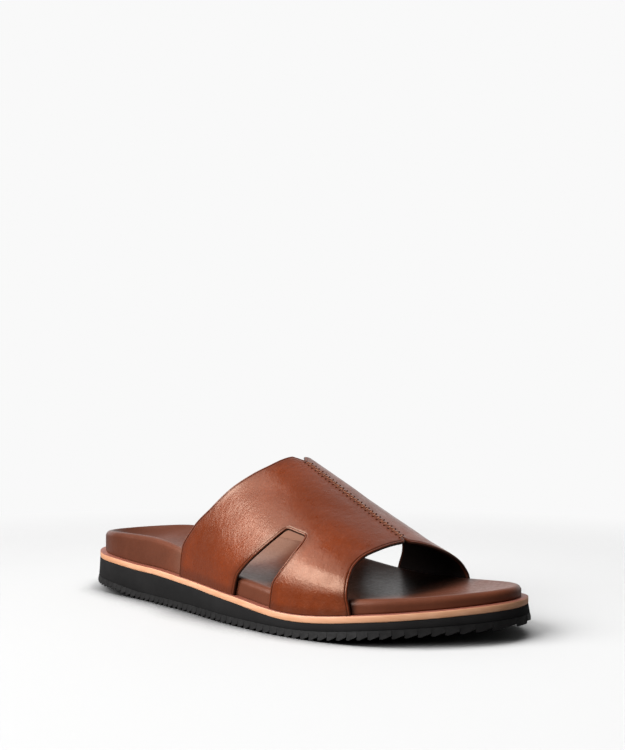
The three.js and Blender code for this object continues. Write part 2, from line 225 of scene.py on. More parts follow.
def noise(tree, scale, detail=3, roughness=0.55, stretch=(1, 1, 1), turn=(0, 0, 0)):
    """Cloudy pattern on the object's own coordinates; scale counts clouds in a metre."""
    place = add_node(tree, "TexCoord").outputs["Object"]
    laid = add_node(tree, "Mapping", {"Vector": place, "Scale": stretch, "Rotation": turn})
    return add_node(tree, "TexNoise", {
        "Vector": laid.outputs["Vector"], "Scale": scale, "Detail": detail, "Roughness": roughness,
    }).outputs["Fac"]


def ramp(tree, source, low, high, to_low=0.0, to_high=1.0):
    """Maps the range low to high of a source onto another range, softly."""
    return add_node(tree, "MapRange", {
        "Value": source, "From Min": low, "From Max": high, "To Min": to_low, "To Max": to_high,
    }, interpolation_type="SMOOTHSTEP").outputs["Result"]


def blend_dyes(tree, share, low, high):
    """One colour or socket laid over another by a share."""
    made = add_node(tree, "Mix", data_type="RGBA")
    for index, value in ((0, share), (6, low), (7, high)):
        if isinstance(value, bpy.types.NodeSocket):
            tree.links.new(value, made.inputs[index])
        else:
            made.inputs[index].default_value = value
    return made.outputs[2]


def relief(tree, height, depth, under=None):
    """Bump of a real depth in metres, laid over the bump under it."""
    inputs = {"Height": height, "Distance": depth, "Strength": 1}
    if under:
        inputs["Normal"] = under
    return add_node(tree, "Bump", inputs).outputs["Normal"]


def tread_stations():
    """Places along the sole and the tread's height at each, tooth by tooth."""
    reach = LENGTH / 2 + SOLE_FLARE
    places = []
    start = -LENGTH / 2 - TOOTH_PITCH
    while start < reach:
        land = ground(start + TOOTH_LAND / 2)
        places.append((start, land))
        places.append((start + TOOTH_LAND, land))
        tip = start + TOOTH_PITCH
        places.append((tip - STEEP_FACE, ground(tip) + TOOTH_DEPTH))
        start = tip
    corner_x, corner_z = np.array(places, float).T
    round_x = -reach * np.cos(np.linspace(0, math.pi, TIP_STATIONS))
    inside = corner_x[np.abs(corner_x) < reach]
    x = np.unique(np.concatenate([round_x, inside]))
    return x, np.interp(x, corner_x, corner_z)


tread_x, tread_z = tread_stations()
from_heel = np.clip((tread_x - tread_x[0]) / HEEL_CORNER, 0, 1)
tread_z = tread_z + HEEL_CORNER * (1 - np.sqrt(1 - (1 - from_heel) ** 2))
low_lateral, low_medial = side_edges(tread_x, -SOLE_FLARE)
lanes = np.linspace(0, 1, TREAD_LANES + 1)
tread = np.stack([
    np.repeat(tread_x[:, None], len(lanes), 1),
    mix(low_lateral[:, None], low_medial[:, None], lanes),
    np.repeat(tread_z[:, None], len(lanes), 1),
], axis=-1)

outsole_mesh = bmesh.new()
lay_grid(outsole_mesh, len(tread_x) - 1, TREAD_LANES, tread)
raised = bmesh.ops.extrude_face_region(outsole_mesh, geom=outsole_mesh.faces[:])["geom"]
shrink = (LENGTH / 2 + SOLE_FLARE / 2) / (LENGTH / 2 + SOLE_FLARE)
for vert in (item for item in raised if isinstance(item, bmesh.types.BMVert)):
    lateral, medial = (float(side) for side in side_edges(vert.co.x, -SOLE_FLARE))
    across = 0.5 if medial - lateral < STEEP_FACE else (vert.co.y - lateral) / (medial - lateral)
    x = vert.co.x * shrink
    lateral, medial = (float(side) for side in side_edges(x, -SOLE_FLARE / 2))
    vert.co = (x, mix(lateral, medial, across), float(outsole_top(x)))
bmesh.ops.remove_doubles(outsole_mesh, verts=outsole_mesh.verts[:], dist=STEEP_FACE / 5)
bmesh.ops.recalc_face_normals(outsole_mesh, faces=outsole_mesh.faces[:])

rubber = new_material("black_rubber", Roughness=0.62, Specular_IOR_Level=0.2)
tree = rubber.node_tree
dust = ramp(tree, noise(tree, 240, detail=5), 0.35, 0.75)
feed(rubber, "Base Color", blend_dyes(tree, dust, dye("0e0d0d"), dye("181717")))
feed(rubber, "Roughness", ramp(tree, noise(tree, 900), 0.3, 0.7, 0.52, 0.72))
feed(rubber, "Normal", relief(tree, noise(tree, 2600, detail=2), 0.03 * MM))

outsole = new_piece(outsole_mesh, "rubber_outsole", [rubber], sharp_degrees=28)
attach(outsole, "root")
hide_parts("outsole")


# Wedge midsole
# A cut sheet of matt black foam, thick under the heel and thin under the ball.
# It is skived to its wedge, buffed smooth round the edge and cemented between rubber and welt.
BALL_STACK = 7.5 * MM
HEEL_STACK = 15.7 * MM
RING_POINTS = 224
CUT_EDGE = 0.35 * MM
CUP_REACH = 0.1
ROUNDING = 0.3
GLUE_LINE = 0.04 * MM
WELD_DISTANCE = 0.002 * MM


def wedge_top(x):
    return ground(x) + mix(BALL_STACK, HEEL_STACK, follow(PROFILE, "wedge", share_at(x)))


def middle_at(x):
    turn = turn_at(share_at(x))
    return (side_at(turn) + side_at(2 * math.pi - turn)) / 2


ring_turns = np.arange(RING_POINTS) * 2 * math.pi / RING_POINTS
ring_sides = np.where(ring_turns < math.pi, -1.0, 1.0)


def ring(inset, height):
    """Points round the sole at one inset; height is worked out from x and side."""
    x, y = edge_place(ring_turns, inset)
    return np.stack([x, y, height(x, ring_sides)], axis=-1)


def spine_of(points):
    """The line along the middle of the sole on which a ring of points closes."""
    partner = np.roll(points[::-1], 1, axis=0)
    reach = LENGTH * (0.5 - CUP_REACH)
    along = np.clip((points[:, 0] + partner[:, 0]) / 2, -reach, reach)
    return np.stack([along, middle_at(along)], axis=-1)


def closing(points, height):
    """The ring's spine at its own height, which closes a flat end."""
    spine = spine_of(points)
    return np.column_stack([spine, height(spine[:, 0], ring_sides)])


def grow_rings(mesh, rings):
    """A body of rings, each one extruded from the edges of the ring before it."""
    verts = bmesh.ops.create_circle(mesh, segments=RING_POINTS, radius=1)["verts"]
    edges = mesh.edges[:]
    for level, places in enumerate(rings):
        if level:
            grown = bmesh.ops.extrude_edge_only(mesh, edges=edges)["geom"]
            fresh = {item for item in grown if isinstance(item, bmesh.types.BMVert)}
            edges = [
                item for item in grown
                if isinstance(item, bmesh.types.BMEdge) and fresh.issuperset(item.verts)
            ]
            verts = [
                next(other for other in (edge.other_vert(vert) for edge in vert.link_edges) if other in fresh)
                for vert in verts
            ]
        for vert, place in zip(verts, places):
            vert.co = place
    bmesh.ops.remove_doubles(mesh, verts=mesh.verts[:], dist=WELD_DISTANCE)
    bmesh.ops.recalc_face_normals(mesh, faces=mesh.faces[:])


def layer_rings(low_inset, low, high_inset, high, corner):
    """Rings of a flat layer with both corners of its cut edge eased."""
    foot = ring(low_inset + corner, low)
    head = ring(high_inset + corner, high)
    return [
        closing(foot, low),
        foot,
        ring(low_inset + corner * ROUNDING, lambda x, side: low(x, side) + corner * ROUNDING),
        ring(low_inset, lambda x, side: low(x, side) + corner),
        ring((low_inset + high_inset) / 2, lambda x, side: (low(x, side) + high(x, side)) / 2),
        ring(high_inset, lambda x, side: high(x, side) - corner),
        ring(high_inset + corner * ROUNDING, lambda x, side: high(x, side) - corner * ROUNDING),
        head,
        closing(head, high),
    ]


wedge_mesh = bmesh.new()
grow_rings(wedge_mesh, layer_rings(
    -SOLE_FLARE / 2, lambda x, side: outsole_top(x) + GLUE_LINE,
    0, lambda x, side: wedge_top(x) - GLUE_LINE, CUT_EDGE))

foam = new_material("black_foam", Roughness=0.86, Specular_IOR_Level=0.15)
tree = foam.node_tree
feed(foam, "Base Color", blend_dyes(
    tree, ramp(tree, noise(tree, 60, detail=6), 0.3, 0.75), dye("0f0e0e"), dye("171616")))
cells = add_node(tree, "TexVoronoi", {
    "Vector": add_node(tree, "TexCoord").outputs["Object"], "Scale": 3200,
}).outputs["Distance"]
feed(foam, "Normal", relief(tree, cells, 0.02 * MM))

wedge = new_piece(wedge_mesh, "foam_wedge", [foam])
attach(wedge, "root")
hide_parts("wedge_midsole")


# Welt layer
# A tan leather board between wedge and footbed, its ledge showing all round the shoe.
# The edge is sanded and waxed pale, and the top of the ledge is stained red-brown.
WELT_THICKNESS = 3.5 * MM
WELT_EASE = 0.5 * MM
# Where the welt's edge is painted darker toward the heel, as shade.
WELT_HEEL_PAINTED_SHADE = (-140 * MM, -60 * MM)


def welt_top(x):
    return wedge_top(x) + WELT_THICKNESS


welt_mesh = bmesh.new()
grow_rings(welt_mesh, layer_rings(
    0, lambda x, side: wedge_top(x), 0, lambda x, side: welt_top(x), WELT_EASE))


def object_axis(tree, axis):
    """One of the piece's own coordinates, in metres."""
    place = add_node(tree, "TexCoord").outputs["Object"]
    return add_node(tree, "SeparateXYZ", {"Vector": place}).outputs[axis]


welt_leather = new_material("tan_welt_leather", Roughness=0.5, Specular_IOR_Level=0.4)
tree = welt_leather.node_tree
facing = add_node(tree, "SeparateXYZ", {"Vector": add_node(tree, "NewGeometry").outputs["Normal"]})
ledge = ramp(tree, facing.outputs["Z"], 0.35, 0.8)
fibres = noise(tree, 900, detail=4, stretch=(0.12, 0.12, 1))
edge_dye = blend_dyes(tree, ramp(tree, fibres, 0.3, 0.75), dye("be8966"), dye("cd9c7c"))
blotches = ramp(tree, noise(tree, 30), 0.35, 0.7, 0, 0.35)
edge_dye = blend_dyes(tree, blotches, edge_dye, dye("bd8765"))
# Painted shade: the welt's edge is dyed darker toward the heel.
painted_heel_shade = ramp(tree, object_axis(tree, "X"), *WELT_HEEL_PAINTED_SHADE, 0.6, 0)
edge_dye = blend_dyes(tree, painted_heel_shade, edge_dye, dye("9c6642"))
feed(welt_leather, "Base Color", blend_dyes(tree, ledge, edge_dye, dye("743f30")))
feed(welt_leather, "Normal", relief(tree, fibres, 0.06 * MM))

welt = new_piece(welt_mesh, "tan_welt", [welt_leather], sharp_degrees=60)
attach(welt, "root")
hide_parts("welt_layer")


# Footbed
# A moulded cork and foam bed with a raised rim, lasted in smooth brown leather.
# The leather is drawn down the wall and tucked under before the bed is set on the welt.
WELT_LEDGE = 3.3 * MM
CLEARANCE = 0.3 * MM
CUP_HEIGHT = 16.5 * MM
TOE_RIM_HEIGHT = 5.8 * MM
FLOOR_THICKNESS = 4.5 * MM
ARCH_RISE = 3 * MM
RIM_RADIUS = 3 * MM
DISH_POWER = 2.6
TUCK = 0.5 * MM
# Where the leather is painted darker as shade and lighter as light: places along the bed, from the first
# trace to the full colour and from there to the last trace, and places across it.
PAINTED_VAMP_SHADE = {"start": (10 * MM, 40 * MM), "end": (92 * MM, 112 * MM), "across": (-35 * MM, 0)}
PAINTED_STRAP_SHADOW = {"start": (75 * MM, 80 * MM), "end": (88.5 * MM, 92 * MM), "across": (-36 * MM, -30 * MM)}
PAINTED_INSTEP_LIGHT = {"start": (-50 * MM, -20 * MM), "end": (-16 * MM, -5 * MM)}
PAINTED_HEEL_BED_SHADE = (-140 * MM, -40 * MM)


def rim_top(x, side):
    share = share_at(x)
    lateral = follow(PROFILE, "rim_lateral", share)
    medial = follow(PROFILE, "rim_medial", share)
    return welt_top(x) + mix(TOE_RIM_HEIGHT, CUP_HEIGHT, np.where(side < 0, lateral, medial))


def floor_top(x):
    return welt_top(x) + FLOOR_THICKNESS + ARCH_RISE * follow(PROFILE, "arch", share_at(x))


def footbed_rings():
    """Rings up the wall, over the rounded rim and down the dished floor."""
    def underside(x, side):
        return welt_top(x) + CLEARANCE / 4

    foot = ring(WELT_LEDGE + TUCK, underside)
    rings = [closing(foot, underside), foot]
    rings.append(ring(WELT_LEDGE + TUCK * ROUNDING, lambda x, side: underside(x, side) + TUCK * ROUNDING))
    for share in (0.06, 0.3, 0.6, 0.85):
        rings.append(ring(WELT_LEDGE, lambda x, side, share=share: mix(
            welt_top(x) + CLEARANCE, rim_top(x, side) - RIM_RADIUS, share)))
    for degrees in range(0, 91, 15):
        lean = math.radians(degrees)
        rings.append(ring(
            WELT_LEDGE + RIM_RADIUS * (1 - math.cos(lean)),
            lambda x, side, lean=lean: rim_top(x, side) - RIM_RADIUS * (1 - math.sin(lean))))
    rim = rings[-1]
    spine = spine_of(rim)
    for share in (0.03, 0.07, 0.12, 0.18, 0.26, 0.35, 0.45, 0.56, 0.68, 0.8, 0.9, 1):
        dip = 1 - (1 - share) ** DISH_POWER
        x = mix(rim[:, 0], spine[:, 0], share)
        y = mix(rim[:, 1], spine[:, 1], share)
        rise = mix(rim[:, 2] - welt_top(rim[:, 0]), floor_top(x) - welt_top(x), dip)
        rings.append(np.stack([x, y, rise + welt_top(x)], axis=-1))
    return rings


footbed_mesh = bmesh.new()
grow_rings(footbed_mesh, footbed_rings())


def both(tree, one, two):
    """The product of two shares."""
    return add_node(tree, "Math", {0: one, 1: two}, operation="MULTIPLY").outputs[0]


def stretch_of(tree, place, stretch, strength=1):
    """A share that rises over a stretch's start and falls over its end."""
    risen = ramp(tree, place, *stretch["start"])
    return both(tree, risen, ramp(tree, place, *stretch["end"], strength, 0))


footbed_leather = new_material(
    "brown_footbed_leather", Roughness=0.34, Specular_IOR_Level=0.16,
    Specular_Tint=(1, 0.75, 0.65, 1))
tree = footbed_leather.node_tree
cloud = ramp(tree, noise(tree, 34, detail=4), 0.3, 0.72)
leather_dye = blend_dyes(tree, cloud, dye("522c1d"), dye("603525"))
along, aside = object_axis(tree, "X"), object_axis(tree, "Y")
# Painted shade: the bed is dyed near black where the vamp hangs over it.
painted_vamp_shade = both(
    tree, stretch_of(tree, along, PAINTED_VAMP_SHADE), ramp(tree, aside, *PAINTED_VAMP_SHADE["across"]))
leather_dye = blend_dyes(tree, painted_vamp_shade, leather_dye, dye("120b08"))
# Painted shadow: the wall is dyed near black just in front of the lateral strap's foot.
painted_strap_shadow = both(
    tree, stretch_of(tree, along, PAINTED_STRAP_SHADOW), ramp(tree, aside, *PAINTED_STRAP_SHADOW["across"], 0.9, 0))
leather_dye = blend_dyes(tree, painted_strap_shadow, leather_dye, dye("1a0d09"))
# Painted light: the bed is dyed lighter under the instep.
leather_dye = blend_dyes(tree, stretch_of(tree, along, PAINTED_INSTEP_LIGHT, 0.81), leather_dye, dye("7c5d4e"))
# Painted shade: the bed is dyed darker toward the heel.
leather_dye = blend_dyes(tree, ramp(tree, along, *PAINTED_HEEL_BED_SHADE, 0.5, 0), leather_dye, dye("34170e"))
speckle = ramp(tree, noise(tree, 1500, detail=2), 0.35, 0.7, 0, 0.3)
feed(footbed_leather, "Base Color", blend_dyes(tree, speckle, leather_dye, dye("4d2a1f")))
feed(footbed_leather, "Roughness", ramp(tree, noise(tree, 500), 0.3, 0.7, 0.3, 0.4))
pores = add_node(tree, "TexVoronoi", {
    "Vector": add_node(tree, "TexCoord").outputs["Object"], "Scale": 1900, "Randomness": 1,
}, feature="SMOOTH_F1").outputs["Distance"]
soft = relief(tree, noise(tree, 110, detail=2), 0.25 * MM)
feed(footbed_leather, "Normal", relief(tree, pores, 0.03 * MM, soft))

footbed = new_piece(footbed_mesh, "moulded_footbed", [footbed_leather], sharp_degrees=70)
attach(footbed, "root")
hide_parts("footbed")


# Upper
# Two halves of burnished cognac calf, lined in leather and joined down the middle.
# The edges are turned and pressed with a line, and the feet are lasted under the footbed.
LEATHER = 2 * MM
INSTEP_HEIGHT = 81.3 * MM
VAMP_HEIGHT = 43.1 * MM
SEAM_OFFSET = 6.1 * MM
NOTCH_HALF_WIDTH = {"rear": 4.5 * MM, "front": 1.8 * MM}
SLOT_WIDTH = 27.5 * MM
SLOT_HEIGHT = 39.5 * MM
SLOT_MEDIAL_SHIFT = 2.5 * MM
SHOULDER_LIFT = 0.5 * MM
SLOT_FOOT = 0.5525
SEAM_REAR = 0.5565
SEAM_FRONT = 0.787

# Fullness of the cross-sections: 2 is an ellipse, more is squarer.
FULLNESS = {
    "at": (0.35, 0.52, 0.62, 0.71, 0.83),
    "lateral": (1.8, 1.8, 1.95, 2.15, 2.3),
    "medial": (2, 2, 2.05, 1.95, 1.95),
}
# Edges as shares of LENGTH: rise is -1 at the welt, 0 over the rim, 1 at the seam.
EDGES = {
    "rise": (-1, 0, 0.15, 0.3, 0.45, 0.6, 0.75, 1),
    "rear_lateral": (0.372, 0.38, 0.4125, 0.4575, 0.489, 0.515, 0.5315, 0.5405),
    "rear_medial": (0.39, 0.401, 0.43, 0.469, 0.4965, 0.519, 0.5345, 0.5445),
    "front_lateral": (0.8075, 0.8025, 0.8005, 0.7962, 0.791, 0.7895, 0.791, 0.791),
    "front_medial": (0.829, 0.824, 0.82, 0.8175, 0.815, 0.81, 0.803, 0.792),
}
# Rear and front edge of a cut-out: shares of SLOT_HEIGHT up, and of SLOT_WIDTH along.
SLOT_REAR = {
    "rise": (0, 0.27, 0.43, 0.64, 0.8, 0.93),
    "lateral": (0, 0.12, 0.325, 0.647, 0.87, 1.02),
    "medial": (0, 0.12, 0.325, 0.647, 0.87, 1.02),
}
SLOT_FRONT = {
    "rise": (0, 0.27, 0.43, 0.64, 0.8, 0.86),
    "lateral": (1, 1.07, 1.21, 1.375, 1.436, 1.43),
    "medial": (1, 1.1, 1.19, 1.275, 1.305, 1.29),
}
SLOT_CORNER = 1.5 * MM
SEAM_CROSSING = (0.4, 0.62)
WALL_TURN = 0.01
SMALL_STEP = 0.2 * MM
SMALL_SHARE = 0.004
WALL_FOOT = 1.999
EDGE_DOTS = 0.1 * MM


def wall_side(x, side):
    """Outer face of the upper's wall where it stands beside the footbed."""
    turn = turn_at(share_at(x))
    place = np.where(side < 0, turn, 2 * math.pi - turn)
    run = length_at(turn + WALL_TURN) - length_at(turn - WALL_TURN)
    slant = (side_at(place + WALL_TURN) - side_at(place - WALL_TURN)) / run
    inset = WELT_LEDGE - CLEARANCE - LEATHER
    return side_at(place) - side * inset * np.hypot(1, slant)


def ridge_height(x):
    return mix(INSTEP_HEIGHT, VAMP_HEIGHT, (share_at(x) - SEAM_REAR) / (SEAM_FRONT - SEAM_REAR))


def fullness_at(x, side):
    share = share_at(x)
    return np.where(side < 0, follow(FULLNESS, "lateral", share), follow(FULLNESS, "medial", share))


def upper_place(x, across):
    """Outer face of the upper: across is 0 at the seam, 1 at the shoulder, 2 at the welt,
    negative on the lateral side."""
    side = np.where(across < 0, -1.0, 1.0)
    rise = 1 - np.abs(across)
    shoulder = rim_top(x, side) + SHOULDER_LIFT
    lean = np.clip(rise, 0, 1) * math.pi / 2
    power = 2 / fullness_at(x, side)
    y = mix(SEAM_OFFSET, wall_side(x, side), np.cos(lean) ** power)
    arched = mix(shoulder, ridge_height(x), np.sin(lean) ** power)
    upright = mix(shoulder, welt_top(x) + CLEARANCE, np.clip(-rise, 0, 1))
    return np.stack([x, y, np.where(rise > 0, arched, upright)], axis=-1)


def across_at(x, z, side):
    """The place across at which the upper has the height z."""
    shoulder = rim_top(x, side) + SHOULDER_LIFT
    up = np.clip((z - shoulder) / (ridge_height(x) - shoulder), 0, 1)
    lean = np.arcsin(up ** (fullness_at(x, side) / 2))
    down = np.clip((shoulder - z) / (shoulder - welt_top(x) - CLEARANCE), 0, 1)
    return side * (1 - lean / (math.pi / 2) + down)


def across_beside_seam(x, gap, side):
    """The place across at which the upper lies a gap to the side of the seam."""
    ratio = np.clip(gap / np.abs(wall_side(x, side) - SEAM_OFFSET), 0, 1)
    return side * (1 - np.arccos(ratio ** (fullness_at(x, side) / 2)) / (math.pi / 2))


def upper_end(across, side, end):
    """Place along x of the rear or front edge, with the notch at the seam."""
    rise = 1 - np.abs(across)
    plain = LENGTH * (follow(EDGES, end + ("_lateral" if side < 0 else "_medial"), rise) - 0.5)
    seam_end = LENGTH * ((SEAM_REAR if end == "rear" else SEAM_FRONT) - 0.5)
    beside = np.abs(upper_place(plain, across)[..., 1] - SEAM_OFFSET)
    notch = np.where(rise > 0, np.clip(1 - beside / NOTCH_HALF_WIDTH[end], 0, 1), 0)
    return mix(plain, seam_end, notch)


def slot_place(side, edge, rise):
    """Side-view place of a cut-out's edge at a rise."""
    foot = LENGTH * (SLOT_FOOT - 0.5) + (SLOT_MEDIAL_SHIFT if side > 0 else 0)
    base = welt_top(foot + SLOT_WIDTH / 2)
    along = follow(edge, "medial" if side > 0 else "lateral", rise)
    return np.array([foot + SLOT_WIDTH * along, base + SLOT_HEIGHT * rise])


def slot_along(side, edge, z):
    """Place along x of a cut-out's edge at a height."""
    base = slot_place(side, edge, 0)[1]
    return slot_place(side, edge, (z - base) / SLOT_HEIGHT)[0]


# Grid lines crowd together toward every edge, where the leather turns.
TURN_STEPS = np.array([0, 0.05, 0.17, 0.38, 0.66, 0.95, 1.15, 1.3, 1.45, 1.65, 2, 2.6]) * MM
CORNER_STEPS = np.array([0, 0.35, 0.8, 1.4]) * MM
SEAM_STEPS = np.array([0, 0.18, 0.4, 0.75, 1.2, 1.7, 2.3, 3.2]) * MM
REAR_ROWS, BRIDGE_ROWS, FRONT_ROWS = 20, 9, 18
PANEL_LINES, SIDE_LINES, WALL_LINES = 20, 26, 8
PANEL_ARC = 36 * MM
SIDE_ARC = 46 * MM
FIRST_SPREAD = (-0.1, 0.3)
SETTLING_ROUNDS = 14


def spread(left, right, from_left, middle, from_right):
    """Rows between two ends: crowded rows at each end, even ones between."""
    left, right = left[:, None], right[:, None]
    share = np.linspace(0, 1, middle + 2)[1:-1]
    even = mix(left + from_left[-1], right - from_right[-1], share)
    return np.concatenate([left + from_left, even, right - from_right[::-1]], axis=1)


def half_grid(side):
    """x and across of every grid corner of one half, lines from the seam to the welt,
    with the line and the two rows that bound the cut-out."""
    seam = len(SEAM_STEPS)
    panel_share = np.concatenate([
        np.linspace(0, 1 - TURN_STEPS[-1] / PANEL_ARC, PANEL_LINES + 1)[1:-1],
        1 - TURN_STEPS[::-1] / PANEL_ARC,
    ])
    side_share = np.concatenate([
        CORNER_STEPS[1:] / SIDE_ARC,
        np.linspace(CORNER_STEPS[-1] / SIDE_ARC, 1, SIDE_LINES)[1:],
    ])
    wall_share = np.append(np.linspace(0, 1, WALL_LINES + 1)[1:], 1)
    top = seam + len(panel_share) - 1
    lines = top + 1 + len(side_share) + len(wall_share)
    first = len(TURN_STEPS) * 2 + REAR_ROWS - 1
    second = first + len(CORNER_STEPS) * 2 + BRIDGE_ROWS - 1
    rows = second + len(TURN_STEPS) * 2 + FRONT_ROWS

    rear_corner = slot_place(side, SLOT_REAR, SLOT_REAR["rise"][-1])
    front_corner = slot_place(side, SLOT_FRONT, SLOT_FRONT["rise"][-1])
    seam_ends = LENGTH * (np.array([SEAM_REAR, SEAM_FRONT]) - 0.5)
    crossing = mix(seam_ends[0], seam_ends[1], np.array(SEAM_CROSSING))
    toward_top = np.arange(top + 1) / top
    x = np.linspace(*FIRST_SPREAD, rows) * LENGTH * np.ones((lines, 1))
    for _ in range(SETTLING_ROUNDS):
        slot_x = np.clip(x[top], rear_corner[0], front_corner[0])
        share = (slot_x - rear_corner[0]) / (front_corner[0] - rear_corner[0])
        slot_top = across_at(slot_x, mix(rear_corner[1], front_corner[1], share), side)
        slot_top[:first + 1] = slot_top[first]
        slot_top[second:] = slot_top[second]
        across = np.empty_like(x)
        across[:seam] = across_beside_seam(x[:seam], SEAM_STEPS[:, None], side)
        beside = across_beside_seam(x[seam:top + 1], SEAM_STEPS[-1], side)
        across[seam:top + 1] = mix(beside, slot_top, panel_share[:, None])
        below = top + 1 + len(side_share)
        across[top + 1:below] = mix(slot_top, side, side_share[:, None])
        across[below:] = side * (1 + wall_share[:, None])
        left = upper_end(across[:, 0], side, "rear")
        right = upper_end(across[:, -1], side, "front")
        heights = upper_place(x, across)[..., 2]
        one = slot_along(side, SLOT_REAR, heights[:, first])
        two = slot_along(side, SLOT_FRONT, heights[:, second])
        one[:top + 1] = mix(crossing[0], rear_corner[0], toward_top)
        two[:top + 1] = mix(crossing[1], front_corner[0], toward_top)
        x = np.concatenate([
            spread(left, one, TURN_STEPS, REAR_ROWS, TURN_STEPS)[:, :-1],
            spread(one, two, CORNER_STEPS, BRIDGE_ROWS, CORNER_STEPS),
            spread(two, right, TURN_STEPS, FRONT_ROWS, TURN_STEPS)[:, 1:],
        ], axis=1)
    for row, corner in ((first, rear_corner), (second, front_corner)):
        round_corner(x, across, side, top, row, -1 if row == second else 1, corner)
    return x, across, top, first, second


def round_corner(x, across, side, top, row, inward, corner):
    """Draws the grid corners near a corner of the cut-out onto a soft bend."""
    flat = upper_place(x, across)[..., [0, 2]]
    down = [(line, row) for line in range(top, x.shape[0])]
    along = [(top, step) for step in range(row, row + 12 * inward, inward)]
    ends = []
    for path in (down, along):
        reach = [np.linalg.norm(flat[place] - corner) for place in path]
        ends.append([np.interp(SLOT_CORNER, reach, [flat[place][k] for place in path]) for k in (0, 1)])
    for sign, path in ((-1, down), (1, along)):
        for place in path:
            reach = np.linalg.norm(flat[place] - corner)
            if reach >= SLOT_CORNER:
                continue
            t = (sign * reach / SLOT_CORNER + 1) / 2
            bend = (1 - t) ** 2 * np.array(ends[0]) + 2 * t * (1 - t) * corner + t ** 2 * np.array(ends[1])
            x[place] = bend[0]
            across[place] = across_at(bend[0], bend[1], side)


lateral_x, lateral_across, slot_line, slot_start, slot_stop = half_grid(-1.0)
medial_x, medial_across = half_grid(1.0)[:2]
grid_x = np.concatenate([lateral_x[:0:-1], medial_x])
grid_across = np.concatenate([lateral_across[:0:-1], medial_across])
half_lines = len(medial_x) - 1
upper_lines, upper_rows = grid_x.shape
base = upper_place(grid_x, grid_across)


def outward(x, across):
    """Unit normal of the outer face."""
    along = upper_place(x + SMALL_STEP, across) - upper_place(x - SMALL_STEP, across)
    high = np.clip(across + SMALL_SHARE, -WALL_FOOT, WALL_FOOT)
    low = np.clip(across - SMALL_SHARE, -WALL_FOOT, WALL_FOOT)
    sideways = upper_place(x, high) - upper_place(x, low)
    normal = np.cross(along, sideways)
    return normal / np.linalg.norm(normal, axis=-1, keepdims=True)


normals = outward(grid_x, grid_across)


def edge_paths():
    """Every cut edge of the leather as a run of grid corners."""
    paths = [base[:, 0], base[:, -1]]
    for side in (-1, 1):
        lines = range(slot_line, half_lines + 1)
        rows = range(slot_start, slot_stop + 1)
        place = [(half_lines + side * line, slot_start) for line in reversed(lines)]
        place += [(half_lines + side * slot_line, row) for row in rows]
        place += [(half_lines + side * line, slot_stop) for line in lines]
        paths.append(np.array([base[p] for p in place]))
    return paths


def edge_distances():
    """Distance of every grid corner from the nearest cut edge."""
    points = []
    for path in edge_paths():
        for start, stop in zip(path[:-1], path[1:]):
            steps = max(1, int(np.linalg.norm(stop - start) / EDGE_DOTS))
            points += [mix(start, stop, k / steps) for k in range(steps)]
        points.append(path[-1])
    tree = KDTree(len(points))
    for index, point in enumerate(points):
        tree.insert(point, index)
    tree.balance()
    return np.array([[tree.find(point)[2] for point in line] for line in base])


from_edge = edge_distances()
from_seam = np.abs(base[..., 1] - SEAM_OFFSET)

# Creases worked in by wear: each a soft trough or ridge between two places on the
# upper, as share of LENGTH and place across, with its half width and depth.
CREASES = (
    {"start": (0.475, -0.62), "stop": (0.585, -0.36), "width": 5 * MM, "depth": 0.35 * MM},
    {"start": (0.5, -0.8), "stop": (0.56, -0.66), "width": 4 * MM, "depth": -0.2 * MM},
    {"start": (0.6, -0.42), "stop": (0.7, -0.16), "width": 6 * MM, "depth": 0.3 * MM},
    {"start": (0.69, -0.6), "stop": (0.79, -0.34), "width": 5 * MM, "depth": 0.3 * MM},
    {"start": (0.66, -0.78), "stop": (0.8, -0.72), "width": 4 * MM, "depth": -0.2 * MM},
    {"start": (0.5, 0.6), "stop": (0.6, 0.34), "width": 5 * MM, "depth": 0.35 * MM},
    {"start": (0.61, 0.4), "stop": (0.71, 0.18), "width": 6 * MM, "depth": 0.3 * MM},
    {"start": (0.7, 0.62), "stop": (0.8, 0.36), "width": 5 * MM, "depth": 0.3 * MM},
)
ARC_UNIT = 85 * MM
PRESSED_LINE = {"gap": 1.35 * MM, "width": 0.24 * MM, "depth": 0.32 * MM}
SEAM_RIDGE = {"width": 2.2 * MM, "height": 0.3 * MM}
SEAM_VALLEY = {"width": 0.28 * MM, "depth": 0.2 * MM}
# Where the lining turns from painted light at the rear to painted shade toward the front.
PAINTED_LIGHT_REAR = (20 * MM, 50 * MM)


def bell(distance, width):
    return np.exp(-((distance / width) ** 2))


def crease_depth(x, across):
    """Depth of all creases at places on the upper."""
    here = np.stack([x, across * ARC_UNIT], axis=-1)
    total = np.zeros_like(x)
    for crease in CREASES:
        start, stop = (
            np.array([(share - 0.5) * LENGTH, place * ARC_UNIT])
            for share, place in (crease["start"], crease["stop"])
        )
        run = stop - start
        along = np.clip(((here - start) @ run) / (run @ run), 0, 1)
        gap = np.linalg.norm(here - (start + along[..., None] * run), axis=-1)
        total += crease["depth"] * bell(gap, crease["width"])
    return total


half_leather = LEATHER / 2
turned = half_leather * (1 - np.sqrt(1 - np.clip(1 - from_edge / half_leather, 0, 1) ** 2))
settled = np.clip(from_edge / (3 * MM), 0, 1) ** 2
face = -crease_depth(grid_x, grid_across) * settled
face = face - PRESSED_LINE["depth"] * bell(from_edge - PRESSED_LINE["gap"], PRESSED_LINE["width"])
ridge = SEAM_RIDGE["height"] * bell(from_seam, SEAM_RIDGE["width"])
ridge = ridge - SEAM_VALLEY["depth"] * bell(from_seam, SEAM_VALLEY["width"])
face = face + ridge * np.clip(from_edge / half_leather, 0, 1)
lift_outer = face - turned
lift_inner = turned - LEATHER
lift_outer[[0, -1]] = -half_leather
lift_inner[[0, -1]] = -half_leather
outer_face = base + normals * lift_outer[..., None]
inner_face = base + normals * lift_inner[..., None]

